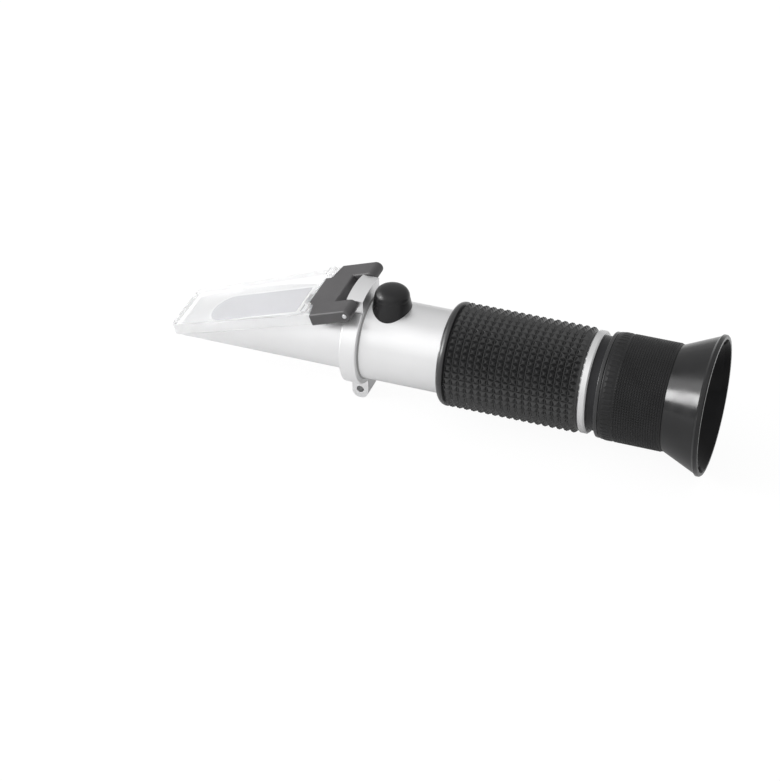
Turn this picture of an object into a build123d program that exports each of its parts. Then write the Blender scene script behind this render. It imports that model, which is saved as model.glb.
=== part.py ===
from build123d import *
import os
from math import cos, radians, sin, tan

# Handheld refractometer, lying on its strap lug and the rim of its eyecup.
# Millimetres. X runs along the optical axis towards the eye, Y across, Z up. The origin is on the
# table, under the middle of the instrument's length.

# Fits and clearances
slip = 0.02  # between pieces that are pushed together for good
running = 0.05  # between a shaft or slide and what it moves in
free = 0.3  # between pieces that move past each other

# Lengths along the optical axis, one after the other
barrel_show = 24.0  # bare barrel between the hinge collar and the grip
grip_length = 41.4
end_ring_width = 2.3
focus_gap = 2.6  # bare eyepiece tube at the middle of the focus travel
focus_length = 19.2  # focus ring's front edge to the neck of the eyecup
eyecup_depth = 11.4
collar_width = 4.9
focus_travel = 2.0  # each way from the middle

# Radii about the optical axis
head_radius = 10.7
barrel_radius = 12.1
collar_radius = 14.0
grip_radius = 15.1
end_ring_radius = 14.7
thread_radius = 13.5  # outside of the eyepiece tube, where the focus ring turns on it
focus_ring_radius = 14.6
focus_band_radius = 15.4
eyecup_neck_radius = 15.1
eyecup_radius = 20.0

# Daylight plate, its bracket and its hinge
plate_angle = 19.4  # slope of the measuring face, down towards the tip
plate_reach = 58.9  # hinge pin to the tip, along the slope
plate_thick = 3.6
plate_tip_width = 20.2
plate_back_width = 26.0
plate_corner = 1.8
plate_rib = 0.8  # height of the ribs that the bracket's shoulders stand against
film_gap = 0.3  # room for the sample between the plate and the prism
bracket_width = 27.3
bracket_length = 13.9  # hinge pin to the front of the tongue
tongue_width = 14.6
shoulder_set = 1.8  # shoulders stand this far behind the tongue's front
shoulder_sweep = 1.3  # and their outer corners this much further back
arm_gap = 14.0
arm_length = 4.7  # wall of the notch to the hinge pin
pin_radius = 0.75
pin_height = 14.85  # above the optical axis
pin_inset = 3.0  # in front of the collar's back face
knuckle_crown_radius = 25.0
knuckle_top = 16.9  # above the optical axis
tenon_thick = 1.5
tenon_width = 10.0
tenon_length = 5.0
rib_width = 1.9  # ribs on the plate, in front of the bracket's shoulders

# Prism head
head_front_set = 0.9  # head's front face behind the plate's tip
spigot_length = 10.0  # head inside the barrel
spigot_wall = 1.2
window_start = 9.3  # from the plate's tip, along the slope
window_length = 30.9
window_width = 13.4
window_nose = 5.5  # length of the rounded end
prism_floor = 6.5  # below the optical axis
seal_width = 0.7
seal_depth = 1.0
throat_radius = 7.5
throat_length = 5.0

# Strap lug under the collar
lug_width = 6.8
lug_hole_radius = 1.1
lug_hole_above_foot = 3.0

# Calibration screw and its rubber cap
screw_from_collar = 6.4  # collar's back face to the screw's axis
bush_radius = 3.4
bush_top = 15.2  # above the optical axis
bush_foot = 10.9
screw_radius = 1.5
screw_head_radius = 2.4
screw_head_height = 1.5
screw_slot = 0.6
cap_crown_radius = 5.1
cap_side_top = 15.1
cap_top = 18.6
cap_fullness = 0.65  # roundness of the dome; nearer 1 is squarer
cap_skirt_length = 6.1  # half of the oval that the skirt spreads to, along the barrel
cap_skirt_width = 6.7  # and across it
cap_skirt_depth = 5.6  # below the crown

# Objective lens in its carrier, and the strip that answers to temperature
carrier_radius = 7.8
carrier_length = 6.0
carrier_pad = 3.6
carrier_pad_height = 8.1  # above and below the optical axis
objective_radius = 6.8
objective_edge = 2.2
objective_rise = 1.0
retainer_width = 1.0
retainer_lip = 0.8
strip_gap = 0.5  # from the carrier's pads to the strip and to the screw's tip
strip_thick = 0.5
strip_width = 4.0
strip_length = 30.0
strip_overhang = 3.0  # past the screw's axis, towards the prism
mount_length = 8.0
strip_screw_radius = 0.8
strip_screw_head = 1.5
strip_screw_spacing = 4.0
stop_from_grip = 16.0
stop_opening = 6.0
stop_width = 1.2

# Eyepiece tube, reticle and focus
tube_spigot = 14.3  # eyepiece tube inside the barrel, from the end ring's back face
tube_reach = 15.0  # eyepiece tube behind the end ring
tube_bore_radius = 9.5
reticle_thick = 1.5
reticle_ring_width = 1.2
reticle_set = 0.6
reticle_lip = 1.2
reticle_opening = 7.8
cell_wall = 1.4
cell_length = 17.6
cell_lip = 1.0
cell_neck = 1.5
cell_neck_depth = 0.8
cell_recess = 0.6  # from the focus ring's front edge to the cell's
lens_lip = 1.0
field_edge = 1.6
field_rise = 1.4
eye_edge = 1.8
eye_rise = 1.2
eye_ring_width = 1.2
eye_ring_overlap = 1.0
guide_pin_radius = 1.0
guide_pin_from_front = 8.6  # from the end ring's back face
focus_bead_radius = 15.1
focus_bead_width = 1.2

# Grip, band and eyecup details
rib_pitch = 2.0
rib_depth = 0.8
grip_band = 2.7  # smooth band at the grip's front
grip_round = 2.2
grip_groove_set = 0.7
end_ring_chamfer = 0.4
cup_wall = 1.2
cup_floor = 1.6
lip_width = 1.7
lip_step = 0.6
edge_break = 0.3

# Stations and heights that follow from the sizes above
slope = radians(plate_angle)
pin_depth = plate_thick / 2
axis_height = eyecup_radius
tip_from_collar = pin_inset + plate_reach * cos(slope) + (pin_depth - edge_break) * sin(slope)
overall = (
    tip_from_collar + barrel_show + grip_length + end_ring_width + focus_gap + focus_length
    + eyecup_depth
)
tip_x = -overall / 2
collar_back = tip_x + tip_from_collar
collar_front = collar_back - collar_width
collar_middle = collar_back - collar_width / 2
grip_front = collar_back + barrel_show
grip_back = grip_front + grip_length
ring_back = grip_back + end_ring_width
focus_front = ring_back + focus_gap
neck_x = focus_front + focus_length
rim_x = neck_x + eyecup_depth
pin_x = collar_back - pin_inset
pin_z = axis_height + pin_height
tip_z = pin_z - plate_reach * sin(slope) + pin_depth * cos(slope)
barrel_bore = head_radius + slip
face_depth = plate_thick + film_gap
spigot_end = collar_back + spigot_length
screw_x = collar_back + screw_from_collar

optical_axis = Axis((0, 0, axis_height), (1, 0, 0))
side_plane = Plane(origin=(0, 0, axis_height), x_dir=(1, 0, 0), z_dir=(0, -1, 0))
slope_plane = Plane(
    origin=(tip_x - edge_break * sin(slope), 0, tip_z),
    x_dir=(cos(slope), 0, sin(slope)),
    z_dir=(-sin(slope), 0, cos(slope)),
)
face_plane = slope_plane.offset(-face_depth)
screw_plane = Plane(origin=(screw_x, 0, axis_height), x_dir=(1, 0, 0), z_dir=(0, -1, 0))
screw_axis = Axis((screw_x, 0, 0), (0, 0, 1))

os.makedirs("parts", exist_ok=True)


def ring(start, length, inner, outer, mode=Mode.ADD):
    """Turn a plain ring about the optical axis, from start along length, between two radii."""
    with BuildSketch(side_plane) as section:
        with Locations((start, inner)):
            Rectangle(length, outer - inner, align=(Align.MIN, Align.MIN))
    revolve(section.sketch, axis=optical_axis, mode=mode)


def post(bottom, top, inner, outer, mode=Mode.ADD):
    """Turn a plain ring about the calibration screw's upright axis, between two heights."""
    with BuildSketch(screw_plane) as section:
        with Locations((inner, bottom)):
            Rectangle(outer - inner, top - bottom, align=(Align.MIN, Align.MIN))
    revolve(section.sketch, axis=screw_axis, mode=mode)


def lens(start, edge, radius, land, front_rise, back_rise):
    """Turn a round lens: a flat land round each face, and inside it the face is domed or flat."""
    back = start + edge
    dome = radius - land
    with BuildSketch(side_plane) as section:
        with BuildLine():
            if front_rise:
                TangentArc((start - front_rise, 0), (start, dome), tangent=(0, 1))
            else:
                Line((start, 0), (start, dome))
            Polyline((start, dome), (start, radius), (back, radius), (back, dome))
            if back_rise:
                TangentArc((back + back_rise, 0), (back, dome), tangent=(0, 1))
            else:
                Line((back, 0), (back, dome))
            Line((start - front_rise, 0), (back + back_rise, 0))
        make_face()
    revolve(section.sketch, axis=optical_axis)


def window_outline(margin):
    """Outline of the measuring face on the slope: square at the back, rounded at the tip."""
    half = window_width / 2 + margin
    nose = window_nose + margin
    start = window_start - margin
    back = window_start + window_length + margin
    with BuildLine() as outline:
        EllipticalCenterArc((start + nose, 0), nose, half, start_angle=90, arc_size=180)
        Polyline((start + nose, half), (back, half), (back, -half), (start + nose, -half))
    make_face(outline.edges())


def save(part, name):
    """Label a finished piece and write it under its own name."""
    part.part.label = name
    export_step(part.part, f"parts/{name}.step")


# Main prism: a wedge whose sloping top is the measuring face and whose back looks down the barrel
prism_back = face_plane.from_local_coords((window_start + window_length, 0)).X


def wedge(margin):
    """Prism shape: a wedge under the measuring face, cut to the window's outline."""
    with BuildSketch(face_plane) as outline:
        window_outline(margin)
    extrude(outline.sketch, amount=-plate_reach)
    with BuildSketch(side_plane) as profile:
        with Locations((prism_back + margin, -prism_floor - margin)):
            Rectangle(2 * window_length, 2 * axis_height, align=(Align.MAX, Align.MIN))
    extrude(profile.sketch, amount=window_width, both=True, mode=Mode.INTERSECT)


with BuildPart() as main_prism:
    wedge(0)
    chamfer(main_prism.faces().sort_by(Axis.X)[-1].edges().filter_by(Axis.Y), length=edge_break)
save(main_prism, "main_prism")

# Prism head: a tube with its top cut away along the slope, hollowed for the prism and the light
with BuildPart() as prism_pocket:
    wedge(slip)

with BuildPart() as head_casting:
    ring(tip_x, spigot_end - tip_x, 0, head_radius)
    split(bisect_by=face_plane, keep=Keep.BOTTOM)
    front_point = slope_plane.from_local_coords((head_front_set, 0))
    split(bisect_by=Plane(origin=front_point, z_dir=slope_plane.x_dir), keep=Keep.TOP)
    add(prism_pocket.part, mode=Mode.SUBTRACT)
    with BuildSketch(face_plane):
        window_outline(seal_width + slip)
    extrude(amount=-seal_depth, mode=Mode.SUBTRACT)
    ring(prism_back, spigot_end - prism_back, 0, throat_radius, mode=Mode.SUBTRACT)
    bore_start = prism_back + throat_length
    ring(bore_start, spigot_end - bore_start, 0, head_radius - spigot_wall, mode=Mode.SUBTRACT)
    post(0, 2 * head_radius, 0, screw_radius + free, mode=Mode.SUBTRACT)
    spigot_edge = head_casting.faces().sort_by(Axis.X)[-1].edges().sort_by(SortBy.RADIUS)[-1]
    chamfer(spigot_edge, length=edge_break)
save(head_casting, "head_casting")

with BuildPart() as prism_seal:
    with BuildSketch(face_plane):
        window_outline(seal_width)
    extrude(amount=-seal_depth)
    add(prism_pocket.part, mode=Mode.SUBTRACT)
save(prism_seal, "prism_seal")

# Hinge collar: a ring on the head, with a knuckle above it for the pin and a strap lug below it
knuckle_half = arm_gap / 2 - free
lug_round = collar_width / 2
arm_underside = pin_height - pin_depth / cos(slope) - (collar_width - pin_inset) * tan(slope)
relief_depth = pin_height - arm_underside + free
with BuildPart() as hinge_collar:
    ring(collar_front, collar_width, 0, collar_radius)
    fillet(hinge_collar.edges().filter_by(GeomType.CIRCLE), radius=edge_break)
    for side in (-1, 1):
        with Locations((collar_middle, side * (knuckle_half + collar_radius), pin_z)):
            Box(2 * collar_width, 2 * collar_radius, 2 * relief_depth, mode=Mode.SUBTRACT)
    with BuildSketch(Plane.YZ.offset(collar_front)):
        with Locations((0, axis_height)):
            Rectangle(2 * knuckle_half, knuckle_top, align=(Align.CENTER, Align.MIN))
        with Locations((0, axis_height + knuckle_top - knuckle_crown_radius)):
            Circle(knuckle_crown_radius, mode=Mode.INTERSECT)
    extrude(amount=collar_width)
    with BuildSketch(side_plane):
        with Locations((collar_middle, lug_round - axis_height)):
            Circle(lug_round)
            Rectangle(collar_width, axis_height - lug_round, align=(Align.CENTER, Align.MIN))
    extrude(amount=lug_width / 2, both=True)
    ring(collar_front, collar_width, 0, barrel_bore, mode=Mode.SUBTRACT)
    with Locations((pin_x, 0, pin_z)):
        Cylinder(pin_radius + running, arm_gap, rotation=(90, 0, 0), mode=Mode.SUBTRACT)
    with Locations((collar_middle, 0, lug_hole_above_foot)):
        Cylinder(lug_hole_radius, 2 * lug_width, rotation=(90, 0, 0), mode=Mode.SUBTRACT)
save(hinge_collar, "hinge_collar")

# Daylight plate and its bracket meet along one line on the slope, with a tenon between them
tongue_front = plate_reach - bracket_length
shoulder_front = tongue_front + shoulder_set
shoulder_back = shoulder_front + shoulder_sweep
slope_up = Axis(slope_plane.origin, slope_plane.z_dir)


def bracket_outline(margin):
    """Bracket seen square to the slope: tongue, swept shoulders and straight sides."""
    half = bracket_width / 2
    tongue_half = tongue_width / 2 + margin
    back = plate_reach + pin_depth
    with BuildLine() as outline:
        Polyline(
            (back, half),
            (shoulder_back - margin, half),
            (shoulder_front - margin, tongue_half),
            (tongue_front - margin, tongue_half),
            (tongue_front - margin, -tongue_half),
            (shoulder_front - margin, -tongue_half),
            (shoulder_back - margin, -half),
            (back, -half),
            close=True,
        )
    make_face(outline.edges())


def tenon(margin):
    """Tenon on the plate's back edge, inside the bracket's tongue."""
    with BuildSketch(slope_plane.offset(-plate_thick / 2)) as tenon_outline:
        with Locations((tongue_front - slip, 0)):
            Rectangle(
                tenon_length + margin, tenon_width + 2 * margin, align=(Align.MIN, Align.CENTER)
            )
    return tenon_outline.sketch


with BuildPart() as daylight_plate:
    with BuildSketch(slope_plane) as plate_outline:
        back_y = plate_back_width / 2
        tip_y = plate_tip_width / 2
        with BuildLine():
            Polyline(
                (shoulder_back, -back_y), (0, -tip_y), (0, tip_y), (shoulder_back, back_y), close=True
            )
        make_face()
        fillet(plate_outline.vertices().group_by(Axis.X)[0], radius=plate_corner)
        with BuildSketch(mode=Mode.PRIVATE) as taken_by_bracket:
            bracket_outline(slip)
        add(taken_by_bracket.sketch, mode=Mode.SUBTRACT)
    extrude(amount=-plate_thick)
    chamfer(daylight_plate.faces().sort_by(slope_up)[-1].edges(), length=edge_break)
    chamfer(daylight_plate.faces().sort_by(slope_up)[0].edges(), length=edge_break)
    extrude(tenon(0), amount=tenon_thick / 2, both=True)
    rib_half = (plate_back_width - tongue_width) / 4 - edge_break
    with BuildSketch(slope_plane.offset(-edge_break)):
        with Locations(
            (shoulder_front - rib_width / 2 - slip, (plate_back_width + tongue_width) / 4),
            (shoulder_front - rib_width / 2 - slip, -(plate_back_width + tongue_width) / 4),
        ):
            SlotOverall(2 * rib_half, rib_width, rotation=90)
    extrude(amount=edge_break + plate_rib)
save(daylight_plate, "daylight_plate")

hinge_plane = Plane(origin=(pin_x, 0, pin_z), x_dir=slope_plane.x_dir, z_dir=(0, -1, 0))
with BuildPart() as hinge_bracket:
    with BuildSketch(hinge_plane):
        Circle(pin_depth)
        Rectangle(bracket_length, plate_thick, align=(Align.MAX, Align.CENTER))
    extrude(amount=bracket_width / 2, both=True)
    with BuildSketch(slope_plane.offset(plate_thick)):
        bracket_outline(0)
        with Locations((plate_reach - arm_length, 0)):
            Rectangle(
                2 * plate_reach, arm_gap, align=(Align.MIN, Align.CENTER), mode=Mode.SUBTRACT
            )
    extrude(amount=-3 * plate_thick, mode=Mode.INTERSECT)
    chamfer(hinge_bracket.faces().sort_by(slope_up)[-1].edges(), length=edge_break)
    extrude(tenon(slip), amount=tenon_thick / 2 + slip, both=True, mode=Mode.SUBTRACT)
    with Locations((pin_x, 0, pin_z)):
        Cylinder(pin_radius + slip, 2 * bracket_width, rotation=(90, 0, 0), mode=Mode.SUBTRACT)
save(hinge_bracket, "hinge_bracket")

with BuildPart() as hinge_pin:
    with Locations((pin_x, 0, pin_z)):
        Cylinder(pin_radius, bracket_width, rotation=(90, 0, 0))
    chamfer(hinge_pin.edges().filter_by(GeomType.CIRCLE), length=edge_break / 2)
save(hinge_pin, "hinge_pin")

# Barrel, with the way in for the calibration screw and for the screws of the strip's mount
strip_top = carrier_pad_height + strip_gap  # below the optical axis
mount_top = strip_top + strip_thick
strip_front = screw_x - strip_overhang
strip_back = strip_front + strip_length
mount_middle = strip_back - mount_length / 2
strip_screw_places = [
    (mount_middle - strip_screw_spacing / 2, 0),
    (mount_middle + strip_screw_spacing / 2, 0),
]
strip_head_depth = (barrel_radius - barrel_bore) / 2
strip_head_seat = barrel_radius - strip_head_depth


def strip_fastening(margin, mode=Mode.ADD):
    """The two screws that hold the strip, or with a margin the holes that they go through."""
    with BuildSketch(Plane.XY.offset(axis_height - strip_head_seat)) as shanks:
        with Locations(*strip_screw_places):
            Circle(strip_screw_radius + margin)
    extrude(shanks.sketch, amount=strip_head_seat - strip_top, mode=mode)
    with BuildSketch(Plane.XY.offset(axis_height - strip_head_seat)) as heads:
        with Locations(*strip_screw_places):
            Circle(strip_screw_head + margin)
    head_height = strip_head_depth - edge_break
    extrude(heads.sketch, amount=-head_height - margin * barrel_radius, mode=mode)


with BuildPart() as barrel_tube:
    ring(collar_back, ring_back - collar_back, barrel_bore, barrel_radius)
    post(0, 2 * barrel_radius, 0, bush_radius + slip, mode=Mode.SUBTRACT)
    strip_fastening(slip, mode=Mode.SUBTRACT)
save(barrel_tube, "barrel_tube")

# Calibration screw in its bush, and the rubber cap that covers both
head_base = bush_top - free - screw_head_height
with BuildPart() as screw_bush:
    post(bush_foot, bush_top, screw_radius + running, bush_radius)
    post(head_base - running, bush_top, 0, screw_head_radius + running, mode=Mode.SUBTRACT)
    chamfer(screw_bush.edges().filter_by(GeomType.CIRCLE).sort_by(Axis.Z)[-1], length=edge_break)
save(screw_bush, "screw_bush")

with BuildPart() as calibration_screw:
    post(carrier_pad_height + strip_gap, head_base, 0, screw_radius)
    post(head_base, head_base + screw_head_height, 0, screw_head_radius)
    with Locations((screw_x, 0, axis_height + head_base + screw_head_height)):
        Box(2 * bush_radius, screw_slot, screw_head_height, mode=Mode.SUBTRACT)
save(calibration_screw, "calibration_screw")

with BuildPart() as calibration_cap:
    with BuildSketch(screw_plane):
        with BuildLine():
            Line((0, cap_side_top), (cap_crown_radius, cap_side_top))
            Bezier(
                (cap_crown_radius, cap_side_top),
                (cap_crown_radius, cap_side_top + cap_fullness * (cap_top - cap_side_top)),
                (cap_crown_radius * cap_fullness, cap_top),
                (0, cap_top),
            )
            Line((0, cap_top), (0, cap_side_top))
        make_face()
    revolve(axis=screw_axis)
    skirt_foot = axis_height + cap_side_top - cap_skirt_depth
    with BuildSketch(Plane.XY.offset(skirt_foot)):
        with Locations((screw_x, 0)):
            Ellipse(cap_skirt_length, cap_skirt_width)
    with BuildSketch(Plane.XY.offset(skirt_foot + cap_skirt_depth)):
        with Locations((screw_x, 0)):
            Circle(cap_crown_radius)
    loft()
    with BuildSketch(Plane.YZ.offset(screw_x)):
        with Locations((0, axis_height)):
            Circle(barrel_radius + slip)
    extrude(amount=2 * cap_skirt_width, both=True, mode=Mode.SUBTRACT)
    post(0, bush_top + free, 0, bush_radius + running, mode=Mode.SUBTRACT)
save(calibration_cap, "calibration_cap")

# Objective lens, held in a carrier that the calibration screw shifts
carrier_front = screw_x - carrier_length / 2
lens_seat = objective_radius + slip
objective_start = carrier_front + retainer_width
with BuildPart() as lens_carrier:
    ring(carrier_front, carrier_length, 0, carrier_radius)
    with Locations((screw_x, 0, axis_height)):
        Box(carrier_pad, carrier_pad, 2 * carrier_pad_height)
    ring(carrier_front, carrier_length, 0, objective_radius - retainer_lip, mode=Mode.SUBTRACT)
    ring(carrier_front, retainer_width + objective_edge, 0, lens_seat, mode=Mode.SUBTRACT)
save(lens_carrier, "lens_carrier")

with BuildPart() as objective_lens:
    lens(
        objective_start, objective_edge, objective_radius, retainer_lip, objective_rise,
        objective_rise,
    )
save(objective_lens, "objective_lens")

with BuildPart() as objective_ring:
    ring(carrier_front, retainer_width, objective_radius - retainer_lip, objective_radius)
save(objective_ring, "objective_ring")

# Temperature strip: its back end is screwed to the barrel, its front end reaches under the carrier
with BuildPart() as bimetal_strip:
    with BuildSketch(Plane.XY.offset(axis_height - strip_top)) as strip_outline:
        with Locations((strip_front, 0)):
            Rectangle(strip_length, strip_width, align=(Align.MIN, Align.CENTER))
        fillet(strip_outline.vertices(), radius=strip_width / 4)
    extrude(amount=-strip_thick)
    strip_fastening(slip, mode=Mode.SUBTRACT)
save(bimetal_strip, "bimetal_strip")

with BuildPart() as strip_mount:
    with BuildSketch(Plane.YZ.offset(strip_back - mount_length)):
        with Locations((0, axis_height)):
            Circle(barrel_bore - slip)
        with Locations((0, axis_height - mount_top)):
            Rectangle(
                strip_width, barrel_bore, align=(Align.CENTER, Align.MAX), mode=Mode.INTERSECT
            )
    extrude(amount=mount_length)
    strip_fastening(slip, mode=Mode.SUBTRACT)
save(strip_mount, "strip_mount")

with BuildPart() as strip_screws:
    strip_fastening(0)
save(strip_screws, "strip_screws")

with BuildPart() as light_stop:
    ring(grip_front + stop_from_grip, stop_width, stop_opening, barrel_bore - slip)
save(light_stop, "light_stop")

# Rubber grip: a rounded smooth band, then ring after ring of studs
rib_count = int((grip_length - grip_band - grip_groove_set) / rib_pitch)
valley = grip_radius - rib_depth
with BuildPart() as grip_sleeve:
    with BuildSketch(side_plane):
        inner = barrel_radius + slip
        ribs_start = grip_front + grip_band
        rib_points = []
        for rib in range(rib_count):
            rib_start = ribs_start + rib * rib_pitch
            rib_points += [
                (rib_start, valley),
                (rib_start + 0.4 * rib_pitch, grip_radius),
                (rib_start + 0.6 * rib_pitch, grip_radius),
            ]
        with BuildLine():
            Line((grip_front, inner), (grip_front, grip_radius - grip_round))
            RadiusArc(
                (grip_front, grip_radius - grip_round), (grip_front + grip_round, grip_radius),
                grip_round,
            )
            Polyline(
                (grip_front + grip_round, grip_radius),
                (ribs_start - rib_depth / 2, grip_radius),
                *rib_points,
                (ribs_start + rib_count * rib_pitch, valley),
                (grip_back, valley),
                (grip_back, inner),
                (grip_front, inner),
            )
        make_face()
    revolve(axis=optical_axis)
save(grip_sleeve, "grip_sleeve")

with BuildPart() as end_ring:
    ring(grip_back, end_ring_width, barrel_radius + slip, end_ring_radius)
    outer_edges = end_ring.edges().filter_by(GeomType.CIRCLE).group_by(SortBy.RADIUS)[-1]
    chamfer(outer_edges, length=end_ring_chamfer)
save(end_ring, "end_ring")

# Eyepiece tube: fixed in the barrel, with the reticle at its front and the focus ring around it
tube_front = ring_back - tube_spigot
tube_end = ring_back + tube_reach
reticle_start = tube_front + reticle_set + reticle_ring_width
tube_lip = reticle_start + reticle_thick
tube_bore_start = tube_lip + reticle_lip
guide_x = ring_back + guide_pin_from_front
with BuildPart() as eyepiece_tube:
    ring(tube_front, tube_spigot, reticle_opening, barrel_bore - slip)
    ring(ring_back, tube_reach, reticle_opening, thread_radius)
    ring(tube_front, tube_lip - tube_front, 0, tube_bore_radius, mode=Mode.SUBTRACT)
    ring(tube_bore_start, tube_end - tube_bore_start, 0, tube_bore_radius, mode=Mode.SUBTRACT)
    with BuildSketch(Plane.XY.offset(axis_height)):
        with Locations((guide_x, 0)):
            Circle(guide_pin_radius + slip)
    extrude(amount=-2 * thread_radius, mode=Mode.SUBTRACT)
save(eyepiece_tube, "eyepiece_tube")

with BuildPart() as reticle:
    ring(reticle_start, reticle_thick, 0, tube_bore_radius - slip)
save(reticle, "reticle")

with BuildPart() as reticle_ring:
    ring(tube_front + reticle_set, reticle_ring_width, reticle_opening, tube_bore_radius - slip)
save(reticle_ring, "reticle_ring")

# Lens cell: slides in the eyepiece tube, kept from turning by the guide pin in its slot
cell_front = focus_front + cell_recess - running
cell_radius = tube_bore_radius - running
cell_bore = cell_radius - cell_wall
cell_end = cell_front + cell_length
neck_start = cell_end - cell_neck
slot_depth = cell_wall / 2
with BuildPart() as lens_cell:
    ring(cell_front, cell_length - cell_neck, cell_bore - lens_lip, cell_radius)
    ring(neck_start, cell_neck, cell_bore - lens_lip, cell_radius - cell_neck_depth)
    lens_room = cell_length - cell_lip
    ring(cell_front + cell_lip, lens_room, 0, cell_bore, mode=Mode.SUBTRACT)
    with BuildSketch(Plane.XY.offset(axis_height - cell_radius + slot_depth)):
        with Locations((guide_x, 0)):
            SlotCenterToCenter(2 * (focus_travel + free), 2 * (guide_pin_radius + running))
    extrude(amount=-cell_radius, mode=Mode.SUBTRACT)
save(lens_cell, "lens_cell")

with BuildPart() as guide_pin:
    pin_tip = cell_radius - slot_depth + free
    with BuildSketch(Plane.XY.offset(axis_height - pin_tip)):
        with Locations((guide_x, 0)):
            Circle(guide_pin_radius)
    extrude(amount=-(thread_radius - edge_break - pin_tip))
save(guide_pin, "guide_pin")

lens_radius = cell_bore - slip
spacer_start = cell_front + cell_lip + field_edge
eye_start = cell_end - eye_edge
with BuildPart() as field_lens:
    lens(cell_front + cell_lip, field_edge, lens_radius, lens_lip, 0, field_rise)
save(field_lens, "field_lens")

with BuildPart() as lens_spacer:
    ring(spacer_start, eye_start - spacer_start, lens_radius - lens_lip, lens_radius)
save(lens_spacer, "lens_spacer")

with BuildPart() as eye_lens:
    lens(eye_start, eye_edge, lens_radius, lens_lip, eye_rise, eye_rise)
save(eye_lens, "eye_lens")

with BuildPart() as eye_lens_ring:
    eye_ring_radius = cell_radius - cell_neck_depth + eye_ring_overlap
    ring(cell_end, eye_ring_width, lens_radius - lens_lip, eye_ring_radius)
save(eye_lens_ring, "eye_lens_ring")

# Focus ring: turns on the eyepiece tube and holds the lens cell by its neck
plate_front = neck_start + running
plate_back = cell_end - running
with BuildPart() as focus_ring:
    ring(focus_front, plate_back - focus_front, thread_radius + free, focus_ring_radius)
    neck_radius = cell_radius - cell_neck_depth + running
    ring(plate_front, plate_back - plate_front, neck_radius, focus_ring_radius)
    ring(focus_front, focus_bead_width, thread_radius + free, focus_bead_radius)
    bead_edges = focus_ring.edges().filter_by(GeomType.CIRCLE).group_by(SortBy.RADIUS)[-1]
    fillet(bead_edges, radius=edge_break)
save(focus_ring, "focus_ring")

with BuildPart() as focus_band:
    band_start = focus_front + focus_bead_width
    band_inner = focus_ring_radius + slip
    ring(band_start, neck_x - band_start, band_inner, focus_band_radius)
    outer_edges = focus_band.edges().filter_by(GeomType.CIRCLE).group_by(SortBy.RADIUS)[-1]
    fillet(outer_edges, radius=(focus_band_radius - band_inner) / 2)
save(focus_band, "focus_band")

# Eyecup: a rubber funnel with a turned-out lip, seated on the back of the focus ring
with BuildPart() as eyecup:
    with BuildSketch(side_plane):
        hole = eye_ring_radius + free
        floor_x = cell_end + eye_ring_width + cup_floor / 2
        lip_start = rim_x - lip_width
        lip_radius = eyecup_radius - lip_step
        with BuildLine():
            Polyline(
                (plate_back, hole),
                (plate_back, focus_ring_radius),
                (neck_x + slip, focus_ring_radius),
                (neck_x + slip, eyecup_neck_radius),
                (lip_start, lip_radius),
                (lip_start + lip_step, eyecup_radius),
                (rim_x - edge_break, eyecup_radius),
                (rim_x, eyecup_radius - edge_break),
                (rim_x, eyecup_radius - cup_wall),
                (lip_start, lip_radius - cup_wall),
                (floor_x + cup_floor, eyecup_neck_radius - cup_wall),
                (floor_x, hole),
                close=True,
            )
        make_face()
    revolve(axis=optical_axis)
save(eyecup, "eyecup")
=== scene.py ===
"""Looks of a handheld refractometer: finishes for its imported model, its studded rubber, its stage.

Laid out as an add-on and run as a script. Lengths are in metres and the frame is the model's own:
X along the optical axis towards the eye, Y across, Z up from the table.
"""

import math

import bpy
from mathutils import Matrix, Vector


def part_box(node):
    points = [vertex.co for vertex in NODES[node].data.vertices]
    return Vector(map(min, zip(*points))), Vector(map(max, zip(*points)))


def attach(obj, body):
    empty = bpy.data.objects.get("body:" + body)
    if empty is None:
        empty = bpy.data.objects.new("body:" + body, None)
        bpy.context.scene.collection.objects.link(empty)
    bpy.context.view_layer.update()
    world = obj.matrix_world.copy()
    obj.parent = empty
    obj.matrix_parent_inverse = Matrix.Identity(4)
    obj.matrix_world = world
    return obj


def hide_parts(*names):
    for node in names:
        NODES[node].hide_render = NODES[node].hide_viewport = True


bl_info = {
    "name": "Refractometer Looks",
    "version": (1, 0, 0),
    "blender": (4, 5, 0),
    "location": "3D View > Sidebar > Refractometer",
    "description": "Finishes the packed model of a handheld refractometer and sets its stage",
    "category": "Object",
}

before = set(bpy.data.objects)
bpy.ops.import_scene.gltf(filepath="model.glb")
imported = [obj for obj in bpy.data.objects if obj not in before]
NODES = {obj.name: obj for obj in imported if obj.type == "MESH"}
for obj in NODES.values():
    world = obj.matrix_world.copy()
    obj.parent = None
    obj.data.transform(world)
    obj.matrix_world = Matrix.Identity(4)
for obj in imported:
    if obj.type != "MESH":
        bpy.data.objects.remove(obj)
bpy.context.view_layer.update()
GRIP_LOW, GRIP_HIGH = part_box("grip_sleeve")
BAND_LOW, BAND_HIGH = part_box("focus_band")
BARREL_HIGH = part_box("barrel_tube")[1]
AXIS_HEIGHT = (GRIP_LOW.z + GRIP_HIGH.z) / 2
GRIP_RADIUS = (GRIP_HIGH.z - GRIP_LOW.z) / 2
BAND_RADIUS = (BAND_HIGH.z - BAND_LOW.z) / 2
BARREL_RADIUS = BARREL_HIGH.y
NOISE_SPAN = (0.3, 0.7)
WHITE = (1, 1, 1, 1)
AXIS_STEPS = 144


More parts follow.
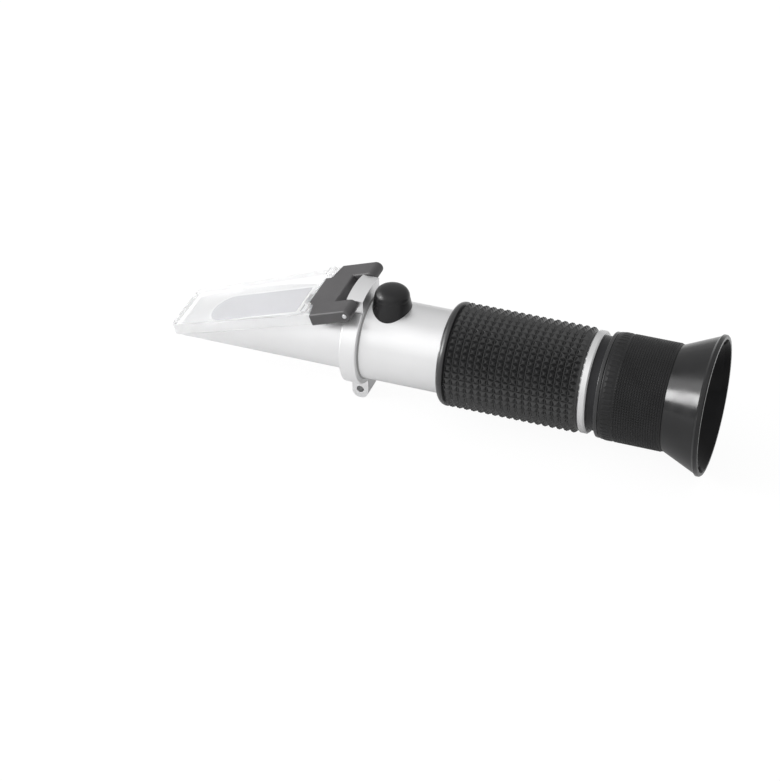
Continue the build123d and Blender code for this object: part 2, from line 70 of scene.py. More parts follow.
class MetalLooks(bpy.types.PropertyGroup):
    silver: bpy.props.FloatVectorProperty(
        name="Silver", description="Colour of the satin alloy", size=3, subtype="COLOR",
        default=(0.80, 0.80, 0.805), min=0, max=1,
    )
    satin: bpy.props.FloatProperty(
        name="Satin", description="Roughness of the blasted head and collar", default=0.42,
        subtype="FACTOR", min=0, max=1,
    )
    turned: bpy.props.FloatProperty(
        name="Turned", description="Roughness of the turned barrel", default=0.34,
        subtype="FACTOR", min=0, max=1,
    )
    line_pitch: bpy.props.FloatProperty(
        name="Turning lines", description="Distance between the barrel's turning lines",
        default=0.00016, unit="LENGTH", precision=5, min=0.00002,
    )


class RubberLooks(bpy.types.PropertyGroup):
    black: bpy.props.FloatVectorProperty(
        name="Black", description="Colour of the moulded rubber", size=3, subtype="COLOR",
        default=(0.0075, 0.0075, 0.008), min=0, max=1,
    )
    grip_roughness: bpy.props.FloatProperty(
        name="Grip roughness", description="Roughness of the studded grip", default=0.30,
        subtype="FACTOR", min=0, max=1,
    )
    cup_roughness: bpy.props.FloatProperty(
        name="Eyecup roughness", description="Roughness of the eyecup's outside", default=0.17,
        subtype="FACTOR", min=0, max=1,
    )


class GripSizes(bpy.types.PropertyGroup):
    rings: bpy.props.IntProperty(
        name="Stud rings", description="Rings of studs along the grip", default=18, min=1,
    )
    around: bpy.props.IntProperty(
        name="Studs around", description="Studs in each ring", default=45, min=3,
    )
    pitch: bpy.props.FloatProperty(
        name="Pitch", description="Distance between rings", default=0.00211, unit="LENGTH",
        precision=4, min=0.0005,
    )
    height: bpy.props.FloatProperty(
        name="Stud height", description="Height of a stud over the groove beside it",
        default=0.00085, unit="LENGTH", precision=5, min=0.0001,
    )
    band: bpy.props.FloatProperty(
        name="Smooth band", description="Width of the smooth band at the front",
        default=0.0027, unit="LENGTH", precision=4, min=0.001,
    )
    rounding: bpy.props.FloatProperty(
        name="Rounding", description="Radius of the smooth band's front edge",
        default=0.0021, unit="LENGTH", precision=4, min=0.0001,
    )


class FocusSizes(bpy.types.PropertyGroup):
    rings: bpy.props.IntProperty(
        name="Knurl rings", description="Rings of fine studs along the focus band", default=19,
        min=1,
    )
    around: bpy.props.IntProperty(
        name="Knurls around", description="Fine studs in each ring", default=120, min=3,
    )
    height: bpy.props.FloatProperty(
        name="Knurl height", description="Height of a fine stud", default=0.00016,
        unit="LENGTH", precision=5, min=0.00002,
    )
    rib_length: bpy.props.FloatProperty(
        name="Rib length", description="Length of the ribs along the band's front", default=0.0034,
        unit="LENGTH", precision=4, min=0.0005,
    )


class GlassLooks(bpy.types.PropertyGroup):
    plate: bpy.props.FloatVectorProperty(
        name="Plate", description="Tint of the clear daylight plate", size=3, subtype="COLOR",
        default=(0.955, 0.957, 0.96), min=0, max=1,
    )
    plate_slope: bpy.props.FloatProperty(
        name="Plate slope", description="Slope of the closed daylight plate", subtype="ANGLE",
        default=math.radians(19.4),
    )
    prism: bpy.props.FloatVectorProperty(
        name="Prism", description="Tint of the measuring prism", size=3, subtype="COLOR",
        default=(0.61, 0.61, 0.66), min=0, max=1,
    )


class StageSizes(bpy.types.PropertyGroup):
    camera_at: bpy.props.FloatVectorProperty(
        name="Camera place", description="Where the camera stands", size=3,
        subtype="TRANSLATION", unit="LENGTH", default=(0.172002, -0.509097, 0.397857),
    )
    azimuth: bpy.props.FloatProperty(
        name="Azimuth", description="Camera's turn about the upright, from straight in front",
        subtype="ANGLE", default=math.radians(20.208),
    )
    elevation: bpy.props.FloatProperty(
        name="Elevation", description="Camera's angle over the table", subtype="ANGLE",
        default=math.radians(36.116),
    )
    roll: bpy.props.FloatProperty(
        name="Roll", description="Camera's turn about its own axis", subtype="ANGLE",
        default=math.radians(-0.370),
    )
    lens: bpy.props.FloatProperty(
        name="Lens", description="Focal length in millimetres on a 36 mm sensor", default=106.02,
    )
    front_glow: bpy.props.FloatProperty(
        name="Front glow", description="How much brighter the sky is in front of the table",
        default=0.42, min=0,
    )
    side_lamp: bpy.props.FloatProperty(
        name="Side lamp", description="Power of the small lamp beside the tip", unit="POWER",
        default=4.5, min=0,
    )
    end_lamp: bpy.props.FloatProperty(
        name="End lamp", description="Power of the broad lamp beyond the tip", unit="POWER",
        default=6.2, min=0,
    )
    floor: bpy.props.FloatVectorProperty(
        name="Floor", description="Colour of the table", size=3, subtype="COLOR",
        default=(0.74, 0.74, 0.74), min=0, max=1,
    )


class RefractometerLooks(bpy.types.PropertyGroup):
    metal: bpy.props.PointerProperty(type=MetalLooks)
    rubber: bpy.props.PointerProperty(type=RubberLooks)
    grip: bpy.props.PointerProperty(type=GripSizes)
    focus: bpy.props.PointerProperty(type=FocusSizes)
    glass: bpy.props.PointerProperty(type=GlassLooks)
    stage: bpy.props.PointerProperty(type=StageSizes)


def start_finish(name):
    """Start a material; return it, its tree, its shader and its object coordinates."""
    finish = bpy.data.materials.new(name)
    finish.use_nodes = True
    tree = finish.node_tree
    place = tree.nodes.new("ShaderNodeTexCoord").outputs["Object"]
    return finish, tree, tree.nodes["Principled BSDF"], place


def maths(tree, operation, *values):
    """Result of an operation on numbers or sockets."""
    node = tree.nodes.new("ShaderNodeMath")
    node.operation = operation
    for socket, value in zip(node.inputs, values):
        if isinstance(value, (int, float)):
            socket.default_value = value
        else:
            tree.links.new(value, socket)
    return node.outputs["Value"]


def remap(tree, value, source, target, curve="LINEAR"):
    """Bring a value from its source span to its target span, both given as (low, high)."""
    fit = tree.nodes.new("ShaderNodeMapRange")
    fit.interpolation_type = curve
    fit.inputs["From Min"].default_value, fit.inputs["From Max"].default_value = source
    fit.inputs["To Min"].default_value, fit.inputs["To Max"].default_value = target
    tree.links.new(value, fit.inputs["Value"])
    return fit.outputs["Result"]


def agreement(tree, vector, other):
    """Dot product of a vector socket with another one or with a fixed direction."""
    node = tree.nodes.new("ShaderNodeVectorMath")
    node.operation = "DOT_PRODUCT"
    tree.links.new(vector, node.inputs[0])
    if isinstance(other, bpy.types.NodeSocket):
        tree.links.new(other, node.inputs[1])
    else:
        node.inputs[1].default_value = other
    return node.outputs["Value"]


def object_normal(tree):
    """Socket of the surface's normal in object coordinates."""
    return tree.nodes.new("ShaderNodeTexCoord").outputs["Normal"]


def seen_straight(tree):
    """Value that is 1 for rays from the camera, through clear pieces too, and 0 for the rest."""
    path = tree.nodes.new("ShaderNodeLightPath")
    return maths(
        tree, "MAXIMUM", path.outputs["Is Camera Ray"], path.outputs["Is Transmission Ray"]
    )


def direction(azimuth, elevation):
    """Unit vector towards an azimuth, from straight in front, and an elevation, in radians."""
    return Vector((
        math.sin(azimuth) * math.cos(elevation),
        -math.cos(azimuth) * math.cos(elevation),
        math.sin(elevation),
    ))


def grain(tree, place, size, stretch=(1, 1, 1)):
    """Noise whose grains have this size, drawn out along the axes by stretch."""
    mapping = tree.nodes.new("ShaderNodeMapping")
    mapping.inputs["Scale"].default_value = [1 / (size * s) for s in stretch]
    noise = tree.nodes.new("ShaderNodeTexNoise")
    noise.inputs["Scale"].default_value = 1.0
    noise.inputs["Detail"].default_value = 2.0
    tree.links.new(place, mapping.inputs["Vector"])
    tree.links.new(mapping.outputs["Vector"], noise.inputs["Vector"])
    return noise.outputs["Fac"]


def spread(tree, value, low, high):
    """Bring a noise value to run between low and high."""
    return remap(tree, value, NOISE_SPAN, (low, high))


def tint(tree, value, dark, light):
    """Colour that runs from dark to light with a noise value."""
    ramp = tree.nodes.new("ShaderNodeValToRGB")
    for stop, position, colour in zip(ramp.color_ramp.elements, NOISE_SPAN, (dark, light)):
        stop.position = position
        stop.color = (*colour, 1)
    tree.links.new(value, ramp.inputs["Fac"])
    return ramp.outputs["Color"]


def relief(tree, shader, value, depth):
    """Let a noise value raise the surface by up to depth."""
    bump = tree.nodes.new("ShaderNodeBump")
    bump.inputs["Distance"].default_value = depth
    bump.inputs["Strength"].default_value = 1.0
    tree.links.new(value, bump.inputs["Height"])
    tree.links.new(bump.outputs["Normal"], shader.inputs["Normal"])


def shade(colour, factor):
    """The same colour, darker or lighter."""
    return tuple(min(1.0, channel * factor) for channel in colour)


def alloy(name, colour, roughness, line_pitch=None):
    """Satin alloy: blasted, or with line_pitch turned, so that fine rings run round X."""
    finish, tree, shader, place = start_finish(name)
    if line_pitch:
        surface = grain(tree, place, line_pitch, stretch=(1, 120, 120))
    else:
        surface = grain(tree, place, 0.00022)
    cloud = grain(tree, place, 0.012)
    tree.links.new(tint(tree, cloud, shade(colour, 0.965), colour), shader.inputs["Base Color"])
    tree.links.new(
        spread(tree, surface, roughness - 0.04, roughness + 0.05), shader.inputs["Roughness"]
    )
    relief(tree, shader, surface, 0.000006)
    shader.inputs["Metallic"].default_value = 1.0
    return finish


def hollow_side(tree, place):
    """Value that is 1 on the surfaces that face the optical axis, and 0 outside."""
    spoke = tree.nodes.new("ShaderNodeVectorMath")
    spoke.operation = "MULTIPLY_ADD"
    spoke.inputs[1].default_value = (0, 1, 1)
    spoke.inputs[2].default_value = (0, 0, -AXIS_HEIGHT)
    tree.links.new(place, spoke.inputs[0])
    outward = agreement(tree, spoke.outputs["Vector"], object_normal(tree))
    return maths(tree, "LESS_THAN", outward, 0.0)


def rubber(name, colour, roughness, shine, grain_size=0.00025, depth=0.000012):
    """Moulded rubber: near black, faintly mottled, with a fine grain and a set shine, cut on the
    faces into the hollow as painted shade.
    """
    finish, tree, shader, place = start_finish(name)
    fine = grain(tree, place, grain_size)
    mottle = grain(tree, place, 0.006)
    tree.links.new(
        tint(tree, mottle, shade(colour, 0.85), shade(colour, 1.2)), shader.inputs["Base Color"]
    )
    tree.links.new(
        spread(tree, mottle, roughness - 0.04, roughness + 0.05), shader.inputs["Roughness"]
    )
    relief(tree, shader, fine, depth)
    # Painted shade: faces that look into the hollow keep only 0.3 of their shine, so the inside
    # looks shaded.
    hollow_shade = remap(tree, hollow_side(tree, place), (0.0, 1.0), (shine, shine * 0.3))
    tree.links.new(hollow_shade, shader.inputs["Specular IOR Level"])
    return finish


def coated(name, colour, roughness, metallic=0.0, grain_size=0.0002, depth=0.000008):
    """Paint, anodising or moulded plastic, with a fine grain in it."""
    finish, tree, shader, place = start_finish(name)
    fine = grain(tree, place, grain_size)
    cloud = grain(tree, place, 0.005)
    tree.links.new(
        tint(tree, cloud, shade(colour, 0.9), shade(colour, 1.1)), shader.inputs["Base Color"]
    )
    tree.links.new(
        spread(tree, fine, roughness - 0.05, roughness + 0.05), shader.inputs["Roughness"]
    )
    relief(tree, shader, fine, depth)
    shader.inputs["Metallic"].default_value = metallic
    return finish


def clear(name, colour, roughness, ior, transmission=1.0, face=None, frost=0.5):
    """Clear glass or plastic with fine wipe marks; sides that turn from its face are frosted."""
    finish, tree, shader, place = start_finish(name)
    marks = grain(tree, place, 0.0005, stretch=(12, 1, 1))
    haze = spread(tree, marks, roughness, roughness + 0.03)
    if face:
        facing = agreement(tree, object_normal(tree), face)
        squared = maths(tree, "MULTIPLY", facing, facing)
        sides = remap(tree, squared, (0.80, 0.95), (frost, 0.0))
        haze = maths(tree, "MAXIMUM", sides, haze)
    tree.links.new(haze, shader.inputs["Roughness"])
    shader.inputs["Base Color"].default_value = (*colour, 1)
    shader.inputs["IOR"].default_value = ior
    shader.inputs["Transmission Weight"].default_value = transmission
    return finish


def dress(finish, *nodes):
    """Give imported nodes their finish."""
    for node in nodes:
        for slot in NODES[node].material_slots:
            slot.material = finish


def turned(name, profile, steps):
    """Turn a closed outline of (x, radius) points about the optical axis into a mesh object."""
    count = len(profile)
    points, faces = [], []
    for step in range(steps):
        angle = 2 * math.pi * step / steps
        for x, radius in profile:
            points.append(
                (x, -radius * math.sin(angle), AXIS_HEIGHT + radius * math.cos(angle))
            )
        for side in range(count):
            here, there = step * count, (step + 1) % steps * count
            after = (side + 1) % count
            faces.append((here + side, here + after, there + after, there + side))
    mesh = bpy.data.meshes.new(name)
    mesh.from_pydata(points, [], faces)
    mesh.shade_smooth()
    mesh.set_sharp_from_angle(angle=math.radians(32))
    piece = bpy.data.objects.new(name, mesh)
    bpy.context.scene.collection.objects.link(piece)
    return piece


def arc(middle, radius, start, end, steps):
    """Points of an arc in the (x, radius) plane, angles in degrees."""
    points = []
    for step in range(steps + 1):
        angle = math.radians(start + (end - start) * step / steps)
        points.append((middle[0] + radius * math.cos(angle), middle[1] + radius * math.sin(angle)))
    return points


class TreeBench:
    """Lays Geometry Nodes out one after the other and joins them by socket."""

    def __init__(self, name, inputs):
        self.tree = bpy.data.node_groups.new(name, "GeometryNodeTree")
        face = self.tree.interface
        self.sockets = {}
        face.new_socket("Geometry", in_out="INPUT", socket_type="NodeSocketGeometry")
        for label, kind, value in inputs:
            socket = face.new_socket(label, in_out="INPUT", socket_type=kind)
            if value is not None:
                socket.default_value = value
            self.sockets[label] = socket.identifier
        face.new_socket("Geometry", in_out="OUTPUT", socket_type="NodeSocketGeometry")
        self.entry = self.tree.nodes.new("NodeGroupInput")
        self.exit = self.tree.nodes.new("NodeGroupOutput")

    def put(self, kind, links=(), **values):
        """Add a node, set its values and lead sockets into it."""
        node = self.tree.nodes.new(kind)
        for key, value in values.items():
            setattr(node, key, value)
        for socket, source in dict(links).items():
            if isinstance(source, (int, float, tuple)):
                node.inputs[socket].default_value = source
            else:
                self.tree.links.new(source, node.inputs[socket])
        return node

    def sum(self, operation, first, second):
        """Maths on two numbers or sockets."""
        return self.put(
            "ShaderNodeMath", {0: first, 1: second}, operation=operation
        ).outputs["Value"]


def studded(piece, name, rings, around, start, pitch, seat, height, tip, length, finish):
    """Cover a turned piece with rings of studs, four-sided and flat-topped, made by nodes."""
    bench = TreeBench(name, (
        ("Rings", "NodeSocketInt", 1),
        ("Around", "NodeSocketInt", 1),
        ("Start", "NodeSocketFloat", 0.0),
        ("Pitch", "NodeSocketFloat", 0.002),
        ("Seat radius", "NodeSocketFloat", 0.01),
        ("Height", "NodeSocketFloat", 0.001),
        ("Tip share", "NodeSocketFloat", 0.3),
        ("Length share", "NodeSocketFloat", 1.0),
        ("Axis height", "NodeSocketFloat", 0.02),
        ("Finish", "NodeSocketMaterial", None),
    ))
    given = bench.entry.outputs
    count = bench.sum("MULTIPLY", given["Rings"], given["Around"])
    index = bench.put("GeometryNodeInputIndex").outputs["Index"]
    middle = bench.sum("ADD", index, 0.5)
    ring = bench.sum("FLOOR", bench.sum("DIVIDE", middle, given["Around"]), 0.0)
    within = bench.sum("MODULO", index, given["Around"])
    angle = bench.sum("MULTIPLY", bench.sum("DIVIDE", within, given["Around"]), 2 * math.pi)
    along = bench.sum("ADD", given["Start"], bench.sum("MULTIPLY", ring, given["Pitch"]))
    out_y = bench.sum("MULTIPLY", bench.sum("SINE", angle, 0.0), given["Seat radius"])
    out_z = bench.sum("MULTIPLY", bench.sum("COSINE", angle, 0.0), given["Seat radius"])
    spot = bench.put("ShaderNodeCombineXYZ", {
        "X": along,
        "Y": bench.sum("MULTIPLY", out_y, -1.0),
        "Z": bench.sum("ADD", out_z, given["Axis height"]),
    })
    turn = bench.put("ShaderNodeCombineXYZ", {"X": angle})
    spin = bench.put("FunctionNodeEulerToRotation", {"Euler": turn.outputs["Vector"]})
    points = bench.put(
        "GeometryNodePoints", {"Count": count, "Position": spot.outputs["Vector"]}
    )
    girth = bench.sum("MULTIPLY", given["Seat radius"], 2 * math.pi)
    wide_side = bench.sum("DIVIDE", girth, given["Around"])
    long_side = bench.sum("MULTIPLY", given["Pitch"], given["Length share"])
    stud = bench.put("GeometryNodeMeshCone", {
        "Vertices": 4,
        "Radius Top": bench.sum("MULTIPLY", given["Tip share"], math.sqrt(0.5)),
        "Radius Bottom": math.sqrt(0.5),
        "Depth": given["Height"],
    })
    squared = bench.put("GeometryNodeTransform", {
        "Geometry": stud.outputs["Mesh"], "Rotation": (0.0, 0.0, math.radians(45)),
    })
    sized = bench.put("GeometryNodeTransform", {
        "Geometry": squared.outputs["Geometry"],
        "Scale": bench.put(
            "ShaderNodeCombineXYZ", {"X": long_side, "Y": wide_side, "Z": 1.0}
        ).outputs["Vector"],
    })
    placed = bench.put("GeometryNodeInstanceOnPoints", {
        "Points": points.outputs["Points"],
        "Instance": sized.outputs["Geometry"],
        "Rotation": spin.outputs["Rotation"],
    })
    real = bench.put("GeometryNodeRealizeInstances", {"Geometry": placed.outputs["Instances"]})
    flat = bench.put("GeometryNodeSetShadeSmooth", {
        "Geometry": real.outputs["Geometry"], "Shade Smooth": False,
    })
    joined = bench.put("GeometryNodeJoinGeometry")
    bench.tree.links.new(given["Geometry"], joined.inputs["Geometry"])
    bench.tree.links.new(flat.outputs["Geometry"], joined.inputs["Geometry"])
    finished = bench.put("GeometryNodeSetMaterial", {
        "Geometry": joined.outputs["Geometry"], "Material": given["Finish"],
    })
    bench.tree.links.new(finished.outputs["Geometry"], bench.exit.inputs["Geometry"])

    modifier = piece.modifiers.new(name, "NODES")
    modifier.node_group = bench.tree
    values = {
        "Rings": rings, "Around": around, "Start": start, "Pitch": pitch, "Seat radius": seat,
        "Height": height, "Tip share": tip, "Length share": length, "Axis height": AXIS_HEIGHT,
        "Finish": finish,
    }
    for label, value in values.items():
        modifier[bench.sockets[label]] = value
    settle(piece, modifier)


def settle(piece, modifier):
    """Turn a piece's node modifier into plain mesh."""
    graph = bpy.context.evaluated_depsgraph_get()
    mesh = bpy.data.meshes.new_from_object(
        piece.evaluated_get(graph), preserve_all_data_layers=True, depsgraph=graph
    )
    piece.modifiers.remove(modifier)
    piece.data = mesh
    mesh.name = piece.name


class REFRACTOMETER_OT_metal(bpy.types.Operator):
    """Finish the head, the collar, the barrel and the end ring in satin alloy, and paint a shadow
    ring into the collar's seam
    """

    bl_idname = "refractometer.metal"
    bl_label = "Satin Metal"

    def execute(self, context):
        looks = context.scene.refractometer.metal
        silver = tuple(looks.silver)
        dress(alloy("blasted_alloy", silver, looks.satin), "head_casting", "hinge_collar")
        dress(alloy("turned_alloy", silver, looks.turned, looks.line_pitch), "barrel_tube")
        dress(
            alloy("bright_ring", shade(silver, 0.88), roughness=0.30,
                  line_pitch=looks.line_pitch * 0.6),
            "end_ring",
        )
        dress(
            alloy("steel", (0.62, 0.62, 0.63), roughness=0.28, line_pitch=0.0001),
            "hinge_pin", "strip_screws", "guide_pin",
        )
        self.paint_seam_shadow()
        return {"FINISHED"}

    def paint_seam_shadow(self):
        """Thin dark ring of painted shadow in the seam between the collar and the barrel, where the
        groove's shade falls.
        """
        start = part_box("hinge_collar")[1].x
        sunk = BARREL_RADIUS - 0.0001
        shadow_ring = turned("collar_seam_shadow", [
            (start, sunk),
            (start, BARREL_RADIUS + 0.00040),
            (start + 0.00025, BARREL_RADIUS + 0.00025),
            (start + 0.00045, sunk),
        ], 120)
        # Grey paint that stands in for the shadow in the collar's seam.
        shadow_ring.data.materials.append(coated("seam_shadow_paint", (0.26, 0.26, 0.26), roughness=0.6))
        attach(shadow_ring, "barrel")


class REFRACTOMETER_OT_glass(bpy.types.Operator):
    """Finish the prism, its sealant, the daylight plate and the lenses"""

    bl_idname = "refractometer.glass"
    bl_label = "Glass and Plate"

    def execute(self, context):
        looks = context.scene.refractometer.glass
        slope = looks.plate_slope
        face = (-math.sin(slope), 0.0, math.cos(slope))
        dress(
            clear("clear_plate", tuple(looks.plate), roughness=0.02, ior=1.2, transmission=0.82,
                  face=face),
            "daylight_plate",
        )
        dress(
            clear("lens_glass", (0.95, 0.975, 0.98), roughness=0.005, ior=1.52),
            "objective_lens", "field_lens", "eye_lens", "reticle",
        )
        dress(
            clear("prism_glass", tuple(looks.prism), roughness=0.12, ior=1.6, transmission=0.25),
            "main_prism",
        )
        dress(
            coated("sealant", (0.95, 0.95, 0.94), roughness=0.55, grain_size=0.0006,
                   depth=0.00003),
            "prism_seal",
        )
        return {"FINISHED"}


class REFRACTOMETER_OT_hinge(bpy.types.Operator):
    """Finish the plate's bracket in moulded black plastic"""

    bl_idname = "refractometer.hinge"
    bl_label = "Hinge Bracket"

    def execute(self, context):
        dress(
            coated("black_moulding", (0.056, 0.054, 0.056), roughness=0.46, depth=0.00001),
            "hinge_bracket",
        )
        return {"FINISHED"}


class REFRACTOMETER_OT_inside(bpy.types.Operator):
    """Finish the pieces inside the barrel and the eyepiece"""

    bl_idname = "refractometer.inside"
    bl_label = "Inner Pieces"

    def execute(self, context):
        dress(
            coated("black_anodised", (0.022, 0.022, 0.024), roughness=0.42, metallic=0.6),
            "eyepiece_tube", "light_stop", "lens_carrier", "lens_cell", "lens_spacer",
            "objective_ring", "reticle_ring", "eye_lens_ring",
        )
        dress(
            alloy("brass", (0.80, 0.62, 0.30), roughness=0.3, line_pitch=0.00012),
            "screw_bush", "calibration_screw",
        )
        dress(
            alloy("rolled_strip", (0.60, 0.58, 0.55), roughness=0.36),
            "bimetal_strip", "strip_mount",
        )
        return {"FINISHED"}


class REFRACTOMETER_OT_cap(bpy.types.Operator):
    """Finish the rubber cap over the calibration screw"""

    bl_idname = "refractometer.cap"
    bl_label = "Calibration Cap"

    def execute(self, context):
        looks = context.scene.refractometer.rubber
        dress(
            rubber("cap_rubber", tuple(looks.black), roughness=0.30, shine=0.36),
            "calibration_cap",
        )
        return {"FINISHED"}


class REFRACTOMETER_OT_grip(bpy.types.Operator):
    """Make the rubber grip: a rounded smooth band, then rings of flat-topped studs"""

    bl_idname = "refractometer.grip"
    bl_label = "Studded Grip"

    def execute(self, context):
        looks = context.scene.refractometer
        sizes = looks.grip
        finish = rubber(
            "grip_rubber", tuple(looks.rubber.black), looks.rubber.grip_roughness, shine=0.62
        )
        front, back = GRIP_LOW.x, GRIP_HIGH.x
        clearance, step, edge, sunk = 0.00002, 0.0004, 0.0002, 0.00004
        inner = BARREL_RADIUS + clearance
        groove = GRIP_RADIUS - sizes.height
        rounding = sizes.rounding
        profile = [(front, inner)]
        profile += arc((front + rounding, GRIP_RADIUS - rounding), rounding, 180, 90, 10)
        profile += [
            (front + sizes.band - step, GRIP_RADIUS),
            (front + sizes.band, groove),
            (back - edge, groove),
            (back, groove - edge),
            (back, inner),
        ]
        piece = turned("studded_grip", profile, AXIS_STEPS)
        piece.data.materials.append(finish)
        studded(
            piece, "grip_studs", sizes.rings, sizes.around,
            start=front + sizes.band + sizes.pitch / 2, pitch=sizes.pitch, seat=groove - sunk,
            height=sizes.height + sunk, tip=0.16, length=0.94, finish=finish,
        )
        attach(piece, "barrel")
        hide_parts("grip_sleeve")
        return {"FINISHED"}


class REFRACTOMETER_OT_focus(bpy.types.Operator):
    """Make the focus ring's rubber band, with ribs at its front and a fine knurl behind them"""

    bl_idname = "refractometer.focus"
    bl_label = "Focus Band"

    def execute(self, context):
        looks = context.scene.refractometer
        sizes = looks.focus
        finish = rubber(
            "band_rubber", tuple(looks.rubber.black), roughness=0.40, shine=0.30
        )
        front, back = BAND_LOW.x, BAND_HIGH.x
        thickness, edge, margin, sunk = 0.00078, 0.0004, 0.0006, 0.00003
        inner = BAND_RADIUS - thickness
        outer = BAND_RADIUS - sizes.height
        profile = [(front, inner)]
        profile += arc((front + edge, outer - edge), edge, 180, 90, 4)
        profile += arc((back - edge, outer - edge), edge, 90, 0, 4)
        profile += [(back, inner)]
        piece = turned("knurled_band", profile, AXIS_STEPS)
        piece.data.materials.append(finish)
        pitch = (back - front - sizes.rib_length - 2 * margin) / sizes.rings
        studded(
            piece, "band_ribs", 1, sizes.around // 2,
            start=front + margin + sizes.rib_length / 2, pitch=sizes.rib_length,
            seat=outer - sunk, height=sizes.height + sunk, tip=0.5, length=0.95, finish=finish,
        )
        studded(
            piece, "band_knurl", sizes.rings, sizes.around,
            start=front + margin + sizes.rib_length + pitch / 2, pitch=pitch,
            seat=outer - sunk, height=sizes.height + sunk, tip=0.45, length=0.9, finish=finish,
        )
        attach(piece, "focus_ring")
        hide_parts("focus_band")
        dress(
            coated("ring_gloss", (0.02, 0.02, 0.021), roughness=0.22, depth=0.000003),
            "focus_ring",
        )
        return {"FINISHED"}


class REFRACTOMETER_OT_eyecup(bpy.types.Operator):
    """Finish the eyecup in smooth black rubber"""

    bl_idname = "refractometer.eyecup"
    bl_label = "Eyecup"

    def execute(self, context):
        looks = context.scene.refractometer.rubber
        dress(
            rubber("cup_rubber", tuple(looks.black), looks.cup_roughness, shine=0.34,
                   grain_size=0.0003, depth=0.000004),
            "eyecup",
        )
        return {"FINISHED"}


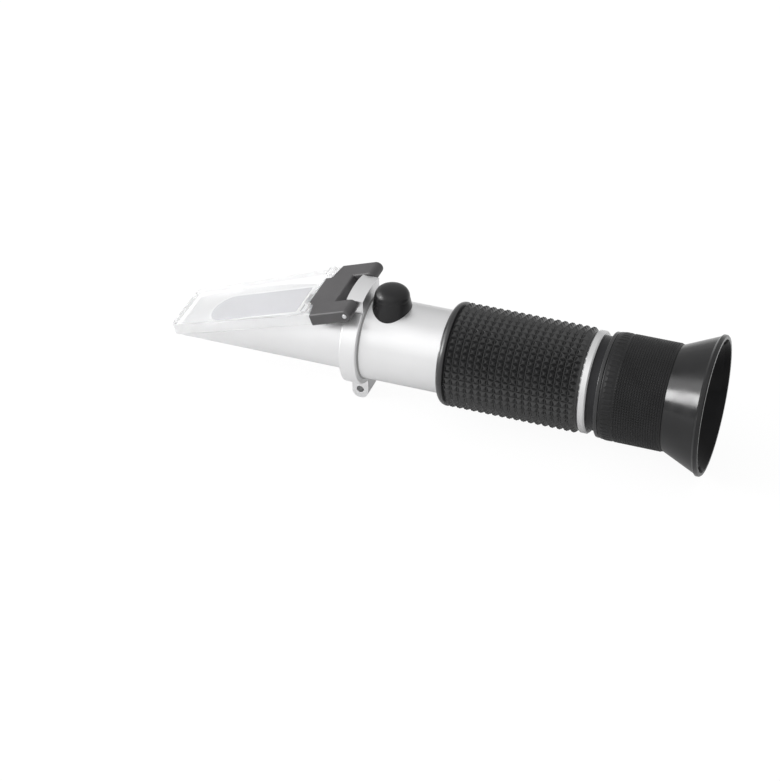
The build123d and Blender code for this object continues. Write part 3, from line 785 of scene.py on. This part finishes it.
class REFRACTOMETER_OT_stage(bpy.types.Operator):
    """Set the pale floor, the soft lamps, the sky and the camera"""

    bl_idname = "refractometer.stage"
    bl_label = "Stage"

    def execute(self, context):
        sizes = context.scene.refractometer.stage
        self.lay_floor(tuple(sizes.floor))
        self.light_sky(context, sizes.front_glow)
        self.hang_lamp("side_lamp", azimuth=-64, elevation=22, size=0.26, power=sizes.side_lamp)
        self.hang_lamp("end_lamp", azimuth=-80, elevation=20, size=0.75, power=sizes.end_lamp)
        self.set_camera(context, sizes)
        context.scene.view_settings.view_transform = "Standard"
        return {"FINISHED"}

    def lay_floor(self, colour):
        """A wide pale table that shows almost white and keeps the instrument's soft shadow."""
        mesh = bpy.data.meshes.new("table")
        half = 4.0
        mesh.from_pydata(
            [(-half, -half, 0), (half, -half, 0), (half, half, 0), (-half, half, 0)], [],
            [(0, 1, 2, 3)],
        )
        table = bpy.data.objects.new("table", mesh)
        bpy.context.scene.collection.objects.link(table)
        finish, tree, shader, _ = start_finish("pale_table")
        shader.inputs["Base Color"].default_value = (*colour, 1)
        shader.inputs["Roughness"].default_value = 0.9
        glow = tree.nodes.new("ShaderNodeEmission")
        glow.inputs["Color"].default_value = WHITE
        glow.inputs["Strength"].default_value = 1.04
        mix = tree.nodes.new("ShaderNodeMixShader")
        tree.links.new(maths(tree, "MULTIPLY", seen_straight(tree), 0.90), mix.inputs["Fac"])
        tree.links.new(shader.outputs["BSDF"], mix.inputs[1])
        tree.links.new(glow.outputs["Emission"], mix.inputs[2])
        tree.links.new(mix.outputs["Shader"], tree.nodes["Material Output"].inputs["Surface"])
        mesh.materials.append(finish)

    def light_sky(self, context, front_glow):
        """A soft sky, brighter overhead and in front, that shows white behind the table."""
        world = bpy.data.worlds.new("sky")
        context.scene.world = world
        world.use_nodes = True
        tree = world.node_tree
        lit = tree.nodes["Background"]
        white = tree.nodes.new("ShaderNodeBackground")
        white.inputs["Color"].default_value = WHITE
        way = tree.nodes.new("ShaderNodeTexCoord").outputs["Generated"]
        parts = tree.nodes.new("ShaderNodeSeparateXYZ")
        tree.links.new(way, parts.inputs["Vector"])
        climb = remap(tree, parts.outputs["Z"], (0.0, 0.9), (0.56, 0.84))
        front = direction(math.radians(-20), math.radians(32))
        lobe = remap(
            tree, agreement(tree, way, front), (0.45, 1.0), (0.0, front_glow), "SMOOTHSTEP"
        )
        tree.links.new(maths(tree, "ADD", climb, lobe), lit.inputs["Strength"])
        lit.inputs["Color"].default_value = WHITE
        mix = tree.nodes.new("ShaderNodeMixShader")
        tree.links.new(seen_straight(tree), mix.inputs["Fac"])
        tree.links.new(lit.outputs["Background"], mix.inputs[1])
        tree.links.new(white.outputs["Background"], mix.inputs[2])
        tree.links.new(mix.outputs["Shader"], tree.nodes["World Output"].inputs["Surface"])

    def hang_lamp(self, name, azimuth, elevation, size, power):
        """A square lamp a metre away at this azimuth and elevation, facing the instrument."""
        distance = 1.0
        away = direction(math.radians(azimuth), math.radians(elevation))
        lamp = bpy.data.lights.new(name, "AREA")
        lamp.shape = "SQUARE"
        lamp.size = size
        lamp.energy = power
        holder = bpy.data.objects.new(name, lamp)
        holder.location = Vector((0, 0, AXIS_HEIGHT)) + away * distance
        holder.rotation_euler = away.to_track_quat("Z", "Y").to_euler()
        bpy.context.scene.collection.objects.link(holder)

    def set_camera(self, context, sizes):
        """The camera stands where its azimuth, elevation and roll look back at the instrument."""
        back = direction(sizes.azimuth, sizes.elevation)
        level = Vector((math.cos(sizes.azimuth), math.sin(sizes.azimuth), 0))
        upright = back.cross(level)
        right = level * math.cos(sizes.roll) + upright * math.sin(sizes.roll)
        up = upright * math.cos(sizes.roll) - level * math.sin(sizes.roll)
        lens = bpy.data.cameras.new("camera")
        lens.lens = sizes.lens
        lens.sensor_width = 36.0
        lens.clip_start = 0.01
        camera = bpy.data.objects.new("camera", lens)
        pose = Matrix((right, up, back)).transposed().to_4x4()
        pose.translation = Vector(sizes.camera_at)
        camera.matrix_world = pose
        context.scene.collection.objects.link(camera)
        context.scene.camera = camera


OPERATORS = (
    REFRACTOMETER_OT_metal,
    REFRACTOMETER_OT_glass,
    REFRACTOMETER_OT_hinge,
    REFRACTOMETER_OT_inside,
    REFRACTOMETER_OT_cap,
    REFRACTOMETER_OT_grip,
    REFRACTOMETER_OT_focus,
    REFRACTOMETER_OT_eyecup,
    REFRACTOMETER_OT_stage,
)


class REFRACTOMETER_PT_looks(bpy.types.Panel):
    """Lists the refractometer's pieces and their sizes"""

    bl_idname = "REFRACTOMETER_PT_looks"
    bl_label = "Refractometer"
    bl_space_type = "VIEW_3D"
    bl_region_type = "UI"
    bl_category = "Refractometer"

    def draw(self, context):
        looks = context.scene.refractometer
        for operator in OPERATORS:
            self.layout.operator(operator.bl_idname)
        for group in ("metal", "rubber", "grip", "focus", "glass", "stage"):
            box = self.layout.box()
            box.label(text=group.capitalize())
            settings = getattr(looks, group)
            for name in settings.__annotations__:
                box.prop(settings, name)


CLASSES = (
    MetalLooks, RubberLooks, GripSizes, FocusSizes, GlassLooks, StageSizes, RefractometerLooks,
    *OPERATORS, REFRACTOMETER_PT_looks,
)


def register():
    for cls in CLASSES:
        bpy.utils.register_class(cls)
    bpy.types.Scene.refractometer = bpy.props.PointerProperty(type=RefractometerLooks)


def unregister():
    del bpy.types.Scene.refractometer
    for cls in reversed(CLASSES):
        bpy.utils.unregister_class(cls)


def main():
    """Dress every piece and set the stage."""
    register()
    bpy.ops.refractometer.metal()
    bpy.ops.refractometer.glass()
    bpy.ops.refractometer.hinge()
    bpy.ops.refractometer.inside()
    bpy.ops.refractometer.cap()
    bpy.ops.refractometer.grip()
    bpy.ops.refractometer.focus()
    bpy.ops.refractometer.eyecup()
    bpy.ops.refractometer.stage()


if __name__ == "__main__":
    main()
